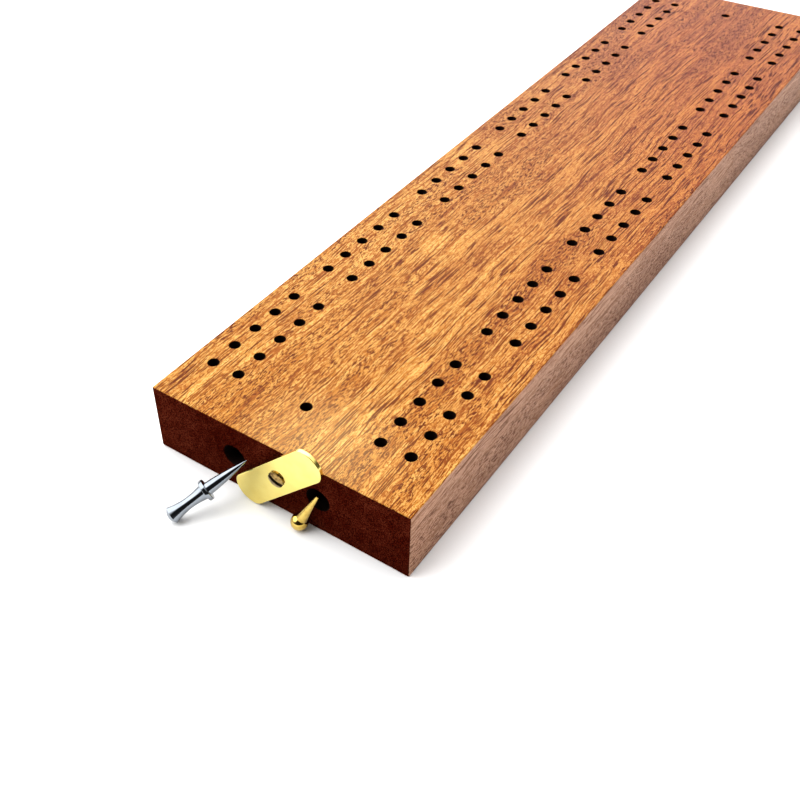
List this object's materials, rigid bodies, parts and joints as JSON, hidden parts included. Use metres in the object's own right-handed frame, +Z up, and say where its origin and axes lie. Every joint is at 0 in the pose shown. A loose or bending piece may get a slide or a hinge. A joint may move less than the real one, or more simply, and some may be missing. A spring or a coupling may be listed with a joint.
{
  "type": "cribbage board",
  "caption": "Rectangular wooden cribbage board with drilled peg rows, end peg stores under a swinging brass cover plate, and turned metal pegs.",
  "frame": {"origin": "middle of the board's underside, on the surface it stands on", "axes": "+Z up, +Y along the board away from the end with the cover plate, +X across it"},
  "size_m": [0.072, 0.3154, 0.0249],
  "materials": {
    "board_wood": "satin lacquer over a red-brown hardwood",
    "cover_brass": "polished",
    "screw_brass": "aged",
    "silver_metal": "bright plated",
    "peg_brass": "polished"
  },
  "bodies": {
    "board": {"board": "board_wood", "cover_spacer": "cover_brass", "cover_screw": "screw_brass"},
    "cover": {"cover_plate": "cover_brass"},
    "silver_loose": {"silver_peg_loose": "silver_metal"},
    "silver_stored": {"silver_peg_stored": "silver_metal"},
    "brass_loose": {"brass_peg_loose": "peg_brass"},
    "brass_stored": {"brass_peg_stored": "peg_brass"}
  },
  "joints": [
    {"name": "cover_swing", "type": "hinge", "parent": "board", "child": "cover", "pos_m": [0.00235, -0.1501, 0.0125], "axis": [0, -1, 0], "range_deg": [-3, 36]},
    {"name": "silver_loose_slide", "type": "slide", "parent": "board", "child": "silver_loose", "axis": [0, -1, 0], "range_m": [0, 0.03]},
    {"name": "brass_loose_slide", "type": "slide", "parent": "board", "child": "brass_loose", "axis": [0, -1, 0], "range_m": [0, 0.03]},
    {"name": "silver_stored_slide", "type": "slide", "parent": "board", "child": "silver_stored", "axis": [0, -1, 0], "range_m": [0, 0.026]},
    {"name": "brass_stored_slide", "type": "slide", "parent": "board", "child": "brass_stored", "axis": [0, -1, 0], "range_m": [0, 0.035]}
  ]
}
